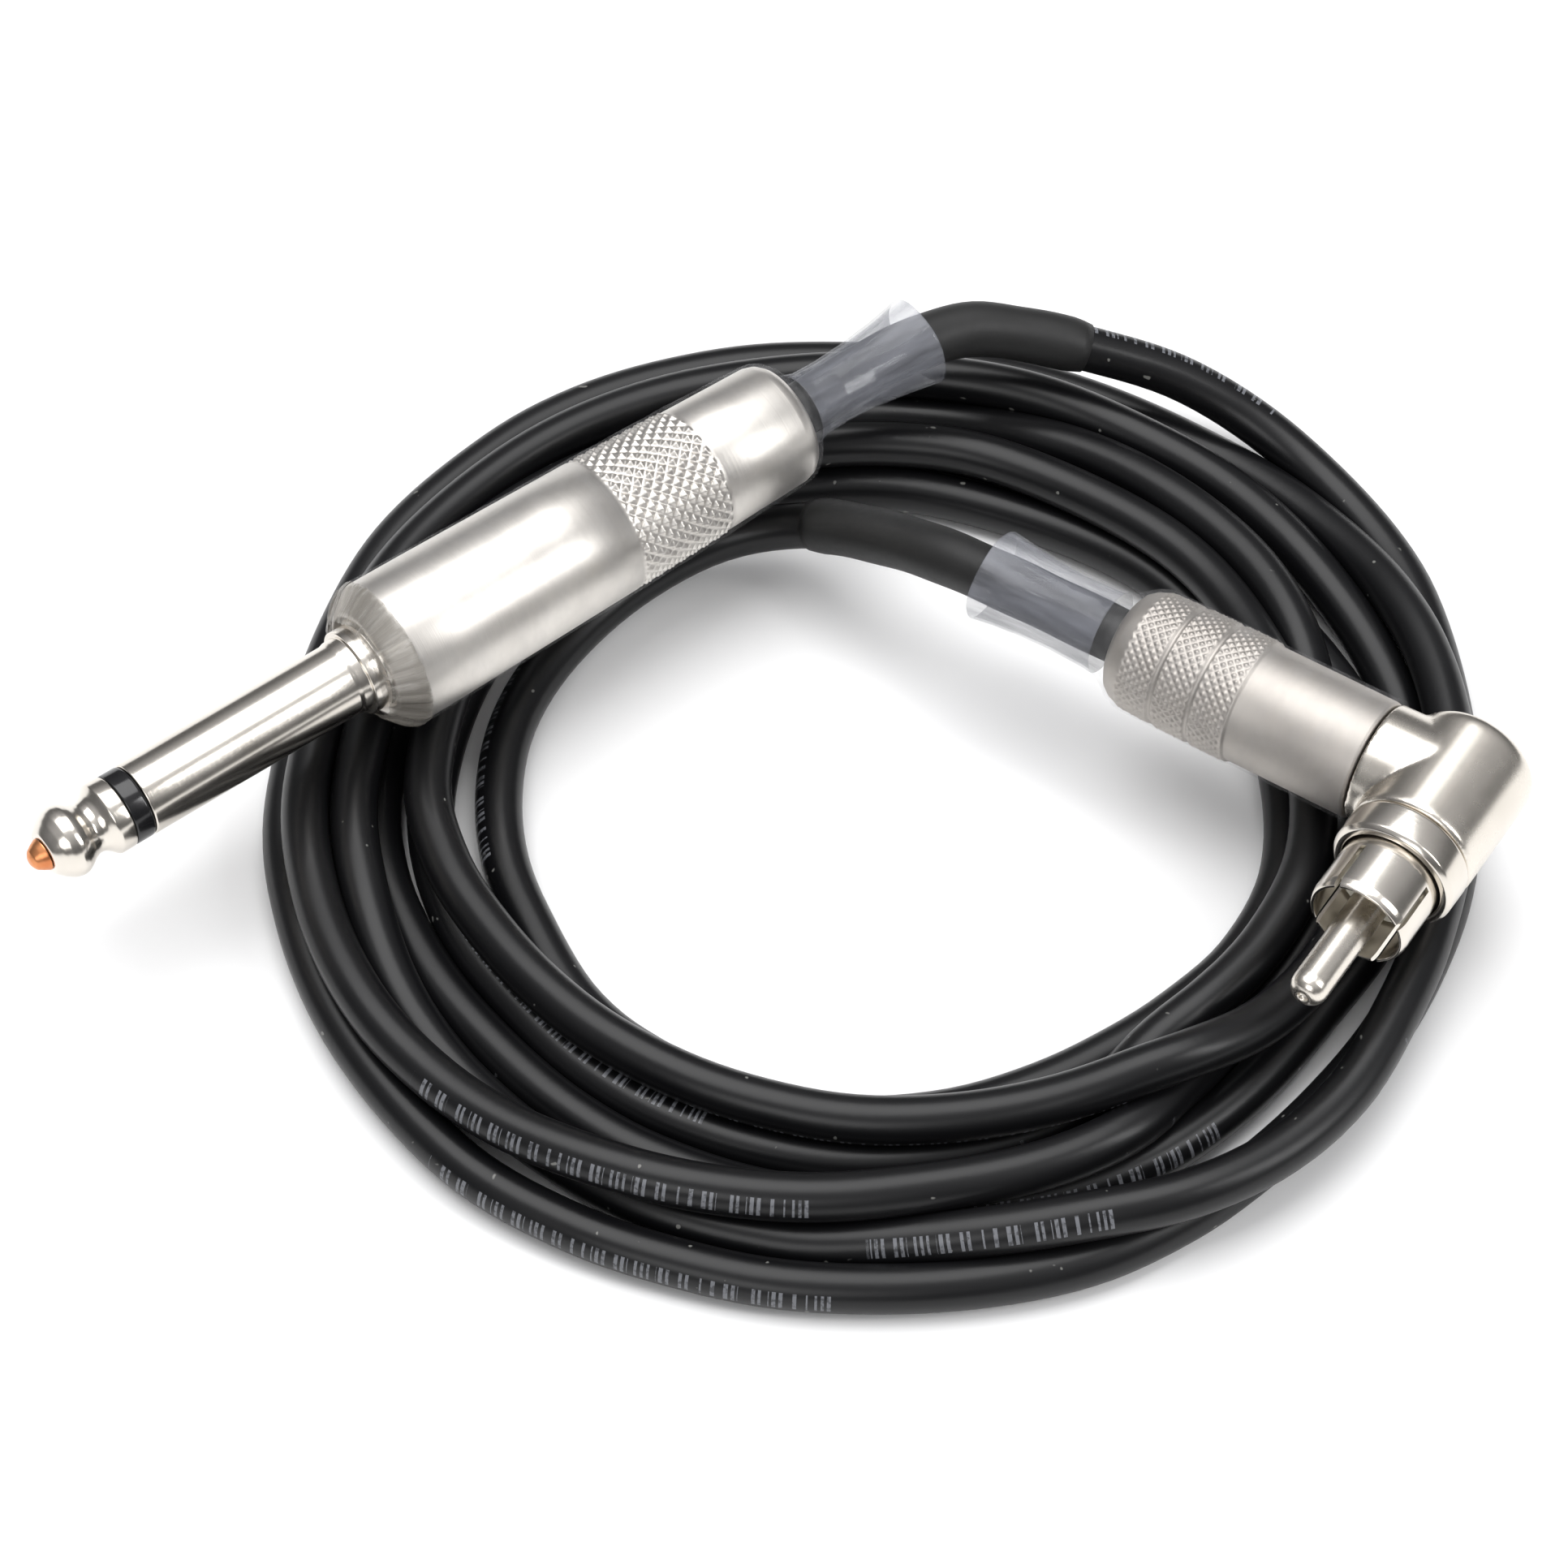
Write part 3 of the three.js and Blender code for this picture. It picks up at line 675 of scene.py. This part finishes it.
def along_route(route, span, spacing=0.8):
    """The stretch of a route between two fractions of its length."""
    line = catmull(route, 0.5)
    run = np.concatenate([[0], np.cumsum(np.linalg.norm(np.diff(line, axis=0), axis=1))])
    at = np.arange(span[0] * run[-1], span[1] * run[-1], spacing)
    return np.column_stack([np.interp(at, run, line[:, k]) for k in range(3)])


def black_shrink(name, route, span):
    """Black heat-shrink on the cord, thinner at its free end."""
    line = along_route(route, span)
    radii = np.full(len(line), SHRINK_R)
    for k, shrink in enumerate((0.22, 0.08)):
        radii[-1 - k] -= shrink
    radii += 0.03 * np.sin(np.arange(len(line)) * 0.7)
    return put(sweep(name, line, radii, BLACK_SHRINK, 32), FIXED, "black_shrink", name.replace("_look", ""))


black_shrink("jack_black_shrink_look", JACK_ROUTE, JACK_SHRINK)
black_shrink("phono_black_shrink_look", PHONO_ROUTE, PHONO_SHRINK)

# ---------------------------------------------------------------- phone plug
put(turned("centre_rod_look", rounded([
    (0, 0), (0.06, 0.45), (0.3, 0.85), (0.8, 1.18), (1.3, 1.42), (1.36, 1.4), (1.36, 1.0), (39.6, 1.0),
    (39.6, 1.6), (40.2, 1.6), (40.6, 1.1), (40.6, 0)], 0.1), COPPER, JACK, 64),
    FIXED, "copper", "jack_centre_rod")

put(turned("tip_look", rounded(tube_profile([
    (1.4, 1.85), (1.75, 2.2), (2.2, 2.6), (2.8, 2.98), (3.4, 3.15), (3.9, 3.1), (4.4, 2.85), (4.9, 2.5),
    (5.4, 2.28), (5.9, 2.3), (6.35, 2.55), (6.8, 3.0), (7.0, 3.175), (8.35, 3.175)],
    [(1.4, 1.2), (8.35, 1.2)]), 0.14), NICKEL, JACK, 96, longest=0.6),
    FIXED, "nickel", "jack_tip")

put(turned("insulator_look", rounded(tube_profile([
    (8.4, 3.05), (8.5, 3.15), (9.95, 3.15), (10.15, 3.05), (10.15, 2.0), (38.4, 2.0)],
    [(8.4, 1.2), (38.4, 1.2)]), 0.1), GLOSS_BLACK, JACK, 96),
    FIXED, "black_plastic", "jack_insulator")


def sleeve_profile():
    """The finger's sleeve with its shoulder and the thread the barrel screws onto."""
    outer = [(10.2, 3.1), (10.3, 3.175), (30.4, 3.175), (30.7, 3.3), (31.5, 3.35), (31.5, 3.8), (32.3, 3.8),
             (32.4, 3.8)]
    for ridge in range(5):
        start = 33.0 + ridge * 0.75
        outer += [(start, 3.8), (start + 0.38, 4.15), (start + 0.74, 3.8)]
    outer.append((36.9, 3.8))
    return tube_profile(outer, [(10.2, 2.3), (36.9, 2.3)])


put(turned("sleeve_look", rounded(sleeve_profile(), 0.08), NICKEL, JACK, 96), FIXED, "nickel", "jack_sleeve")


def diamond(u, angle, count, radius):
    """Height from 0 to 1 of a cross-cut diamond knurl with count grooves round it."""
    a = (angle / (2 * math.pi) * count + u * count / (2 * math.pi * radius)) % 1
    b = (angle / (2 * math.pi) * count - u * count / (2 * math.pi * radius)) % 1
    return min(1 - abs(2 * a - 1), 1 - abs(2 * b - 1))


def knurled(bands, count, radius, height):
    """Relief of a diamond knurl inside the given bands."""
    def relief(u, angle):
        for start, end in bands:
            if start <= u <= end:
                edge = min(1, (u - start) / 0.15, (end - u) / 0.15)
                return height * edge * (diamond(u, angle, count, radius) - 0.4)
        return 0
    return relief


def banded(profile, bands, step=0.11):
    """The profile with its rows close together inside the knurled bands."""
    out = []
    for a, b in zip(profile, profile[1:]):
        out.append(a)
        inside = any(start - 0.01 <= a[0] and b[0] <= end + 0.01 for start, end in bands)
        if inside and b[0] > a[0]:
            rows = max(1, int((b[0] - a[0]) / step))
            steps = [k / rows for k in range(1, rows)]
            out += [(a[0] + (b[0] - a[0]) * t, a[1] + (b[1] - a[1]) * t) for t in steps]
    out.append(profile[-1])
    return out


JACK_BANDS = [(57.6, 66.9)]
jack_outer = [(33.0, 4.75), (33.15, 4.95), (33.5, 5.2), (34.9, 6.28), (35.3, 6.42), (40, 6.38), (57.2, 6.08),
              (57.4, 5.9), (57.6, 5.95), (66.9, 5.7), (67.1, 5.62), (67.3, 5.72), (75.6, 5.5), (76.3, 5.3),
              (76.8, 4.9), (77.0, 4.4)]
jack_bore = [(33.0, 4.45), (37.2, 4.45), (37.2, 4.8), (74.6, 4.8), (74.6, 2.85), (77.0, 2.85)]
put(turned("jack_barrel_look", tube_profile(banded(jack_outer, JACK_BANDS), jack_bore), SATIN, JACK, 360,
           knurled(JACK_BANDS, 30, 5.9, 0.36), longest=6),
    JACK_BODY, "satin_nickel", "jack_barrel")


def pleats(u, angle):
    """The film's gathers over the nose, a few loose waves on its tail and faint ripples along the barrel."""
    nose = math.exp(-((u - 33.6) / 1.2) ** 2)
    folds = 0.10 * math.sin(17 * angle + 2 * math.sin(3 * angle)) + 0.06 * math.sin(31 * angle + 1.0)
    tail = min(1, max(0, (u - 79) / 10))
    wave = 0.12 * tail * math.sin(2 * angle + 0.6) + 0.05 * tail * math.sin(5 * angle + u * 0.3)
    rim = 0.05 * math.sin(u * 1.3 + 2 * angle) if 40 < u < 76 else 0
    return 2.4 * nose * folds + wave + rim * 0.4


# The film over the nose cone, with the dark brown tint that paints shade onto the cone.
put(turned("jack_film_nose", rounded([
    (32.3, 4.4), (32.45, 4.8), (32.9, 5.2), (34.6, 6.5), (35.1, 6.64)], 0.3),
    NOSE_FILM_PAINTED_SHADE, JACK, 180, pleats, 0.3),
    JACK_BODY, "clear_film", "jack_clear_sleeve")
put(turned("jack_film_barrel", rounded([
    (35.0, 6.64), (35.6, 6.62), (40, 6.56), (57.3, 6.3), (66.9, 6.08),
    (75.8, 5.74), (76.6, 5.5), (77.3, 4.9), (78.0, 3.9), (78.6, 3.3)], 0.3),
    BARREL_FILM, JACK, 160, pleats, 0.5),
    JACK_BODY, "clear_film")
put(turned("jack_film_tail", rounded(tube_profile([
    (78.6, 3.3), (79.6, 3.0), (82.0, 2.9), (85.0, 3.02), (88.5, 3.42), (91.5, 3.95)],
    [(78.6, 3.1), (79.6, 2.8), (82.0, 2.7), (85.0, 2.82), (88.5, 3.2), (91.5, 3.72)]), 0.1),
    TAIL_FILM, JACK, 120, pleats, 0.4),
    JACK_BODY, "clear_film")

# ---------------------------------------------------------------- phono plug
put(turned("pin_look", rounded([
    (3.0, 0), (3.0, 1.0), (4.4, 1.0), (4.4, 1.6), (22.4, 1.6), (22.9, 1.54), (23.3, 1.36), (23.6, 1.08),
    (23.78, 0.74), (23.78, 0.46), (23.5, 0.4), (23.3, 0)], 0.12), BODY_NICKEL, PHONO, 72, longest=1.0),
    FIXED, "nickel", "phono_pin")
put(turned("phono_insulator_look", rounded(tube_profile(
    [(3.4, 3.7), (11.2, 3.7)], [(3.4, 1.9), (11.2, 1.9)]), 0.15), WHITE, PHONO, 72),
    FIXED, "white_plastic", "phono_insulator")


def applied(piece, kind, **settings):
    """Gives the piece the mesh that a modifier of this kind makes of it."""
    modifier = piece.modifiers.new(kind.lower(), kind)
    for key, value in settings.items():
        setattr(modifier, key, value)
    graph = bpy.context.evaluated_depsgraph_get()
    mesh = bpy.data.meshes.new_from_object(piece.evaluated_get(graph))
    piece.modifiers.clear()
    piece.data = mesh
    return piece


def block(size, centre, matrix):
    """A box to cut with, sized and centred in mm in the frame of matrix."""
    bm = bmesh.new()
    bmesh.ops.create_cube(bm, size=1)
    scale = Matrix.Diagonal((*[side * MM for side in size], 1))
    bm.transform(matrix @ Matrix.Translation(Vector(centre) * MM) @ scale)
    mesh = bpy.data.meshes.new("cutter")
    bm.to_mesh(mesh)
    bm.free()
    cutter = bpy.data.objects.new("cutter", mesh)
    bpy.context.collection.objects.link(cutter)
    return cutter


def slotted_shell():
    """The phono plug's ground shell with its four slots."""
    shell = turned("shell_look", rounded(tube_profile([
        (3.2, 4.3), (9.9, 4.3), (10.4, 4.34), (14.4, 4.36), (14.9, 4.26), (15.2, 4.12)],
        [(3.2, 3.98), (14.4, 3.98), (15.2, 3.86)]), 0.08), NICKEL, PHONO, 128, longest=0.8)
    for slot in range(4):
        turn = Matrix.Rotation(math.radians(30 + 90 * slot), 4, "X")
        wall = Matrix.Translation(Vector((0, 4.2, 0)) * MM)
        cutter = block((6.0, 3.0, 0.55), (13.6, 0, 0), PHONO @ turn @ wall)
        applied(shell, "BOOLEAN", operation="DIFFERENCE", solver="EXACT", object=cutter)
        bpy.data.objects.remove(cutter)
    return sharpen(shell, 30)


put(slotted_shell(), FIXED, "nickel", "phono_shell")
put(turned("collar_look", rounded(tube_profile([
    (6.45, 5.3), (6.65, 5.48), (9.2, 5.44), (9.6, 5.1)], [(6.45, 4.5), (9.6, 4.5)]), 0.14),
    NICKEL, PHONO, 128),
    FIXED, "nickel", "phono_collar")


def elbow_look():
    """Body and neck joined, then evened out so that one flows into the other."""
    body = turned("elbow_look", rounded([
        (-5.2, 0), (-5.2, 4.6), (-4.7, 5.3), (-4.1, 5.5), (6.35, 5.5), (6.35, 0)], 0.5),
        BODY_NICKEL, PHONO, 128)
    neck = turned("neck", [(0, 0), (0, 5.35), (6.7, 5.2), (6.7, 0)], BODY_NICKEL, REAR, 128)
    applied(body, "BOOLEAN", operation="UNION", solver="EXACT", object=neck)
    bpy.data.objects.remove(neck)
    applied(body, "REMESH", mode="VOXEL", voxel_size=0.16 * MM, use_smooth_shade=True)
    applied(body, "SMOOTH", factor=0.5, iterations=10)
    body.data.materials.clear()
    body.data.materials.append(BODY_NICKEL)
    return body


put(elbow_look(), FIXED, "nickel", "phono_elbow", "phono_back_cap")

PHONO_BANDS = [(18.3, 21.4), (21.9, 24.9), (25.4, 28.4)]
phono_outer = [(6.9, 5.0), (7.0, 5.15), (7.2, 5.2), (17.9, 5.2), (18.1, 5.26), (18.2, 5.4), (18.3, 5.38),
               (21.4, 5.38), (21.5, 5.2), (21.8, 5.2), (21.9, 5.36), (24.9, 5.34), (25.0, 5.16), (25.3, 5.16),
               (25.4, 5.32), (28.4, 5.2), (28.6, 5.1), (29.3, 4.85), (29.9, 4.4), (30.3, 3.7)]
phono_bore = [(6.9, 4.4), (10.9, 4.4), (10.9, 4.6), (29.2, 4.6), (29.2, 2.85), (30.3, 2.85)]
put(turned("phono_barrel_look", tube_profile(banded(phono_outer, PHONO_BANDS), phono_bore), MATT, REAR, 360,
           knurled(PHONO_BANDS, 40, 5.3, 0.2), longest=6),
    PHONO_BODY, "satin_nickel", "phono_barrel")


def phono_waves(u, angle):
    """The film's loose waves on its tail and a slight pucker at its front edge."""
    tail = min(1, max(0, (u - 32) / 8))
    front = math.exp(-((u - 6.8) / 0.8) ** 2)
    wave = 0.2 * tail * math.sin(2 * angle + 1.8) + 0.06 * tail * math.sin(5 * angle)
    return wave + 0.04 * front * math.sin(7 * angle)


put(turned("phono_film_barrel", rounded([
    (6.7, 5.62), (7.1, 5.5), (17.8, 5.42), (18.2, 5.54), (28.5, 5.46), (29.5, 5.1), (30.4, 4.4), (31.1, 3.9),
    (31.8, 3.72)], 0.3), BARREL_FILM, REAR, 160, phono_waves, 0.5),
    PHONO_BODY, "clear_film", "phono_clear_sleeve")
put(turned("phono_film_tail", rounded(tube_profile([
    (31.8, 3.72), (32.8, 3.6), (36.0, 3.45), (39.0, 3.5), (41.5, 3.7), (43.4, 3.95)],
    [(31.8, 3.52), (32.8, 3.4), (36.0, 3.25), (39.0, 3.3), (41.5, 3.5), (43.4, 3.73)]), 0.1),
    TAIL_FILM, REAR, 120, phono_waves, 0.4),
    PHONO_BODY, "clear_film")

# ---------------------------------------------------------------- hidden CAD pieces keep their shape
INSIDE = {
    "jack_ground_lug": BRASS, "jack_rear_washer": BOARD, "jack_tip_lug": BRASS, "jack_inner_tube": BOARD,
    "jack_core_insulation": WHITE, "jack_core_conductor": COPPER, "jack_shield_pigtail": COPPER,
    "phono_ground_strip": BRASS, "phono_inner_tube": BOARD, "phono_core_insulation": WHITE,
    "phono_core_conductor": COPPER, "phono_shield_pigtail": COPPER,
}
for node_name, finish in INSIDE.items():
    for material_slot in frame["nodes"][node_name].material_slots:
        material_slot.material = finish


# ---------------------------------------------------------------- floor and light
def stage():
    """A pale floor, and surroundings that look pale but reflect as a dim horizon and a bright ceiling."""
    bm = bmesh.new()
    bmesh.ops.create_grid(bm, x_segments=2, y_segments=2, size=FLOOR_SIZE_M)
    mesh = bpy.data.meshes.new("floor")
    bm.to_mesh(mesh)
    bm.free()
    floor = bpy.data.objects.new("floor", mesh)
    bpy.context.collection.objects.link(floor)
    material, _, _, shader = new_material("pale_floor")
    shader.inputs["Base Color"].default_value = (0.93, 0.93, 0.93, 1)
    shader.inputs["Roughness"].default_value = 0.9
    shader.inputs["Specular IOR Level"].default_value = 0.1
    mesh.materials.append(material)
    world = bpy.data.worlds.new("world")
    world.use_nodes = True
    nodes, links = world.node_tree.nodes, world.node_tree.links
    split = add_node(nodes, "ShaderNodeSeparateXYZ")
    links.new(add_node(nodes, "ShaderNodeTexCoord").outputs["Generated"], split.inputs[0])
    sky = ramp(nodes, links, split.outputs[2], [(0.0, (0.10, 0.10, 0.10)), (0.35, (0.16, 0.16, 0.165)),
                                                (0.7, (0.42, 0.42, 0.43)), (1.0, (0.75, 0.75, 0.76))])
    seen = add_node(nodes, "ShaderNodeLightPath").outputs["Is Camera Ray"]
    links.new(mix_color(nodes, links, seen, sky, (0.86, 0.86, 0.86)), nodes["Background"].inputs["Color"])
    bpy.context.scene.world = world
    bpy.context.scene.view_settings.view_transform = "Standard"


def area_light(name, position, size, size_y, energy):
    """A soft rectangle of light that faces the middle of the frame."""
    data = bpy.data.lights.new(name, "AREA")
    data.shape = "RECTANGLE"
    data.size = size
    data.size_y = size_y
    data.energy = energy
    light = bpy.data.objects.new(name, data)
    light.location = position
    light.rotation_mode = "QUATERNION"
    light.rotation_quaternion = Vector(position).to_track_quat("Z", "Y")
    bpy.context.collection.objects.link(light)


stage()
area_light("overhead", (-0.08, 0.16, 0.80), 0.85, 0.70, 6.5)
area_light("right_strip", (0.52, -0.20, 0.42), 0.12, 0.40, 1.5)
area_light("front_fill", (-0.25, -0.70, 0.45), 0.45, 0.35, 1.6)
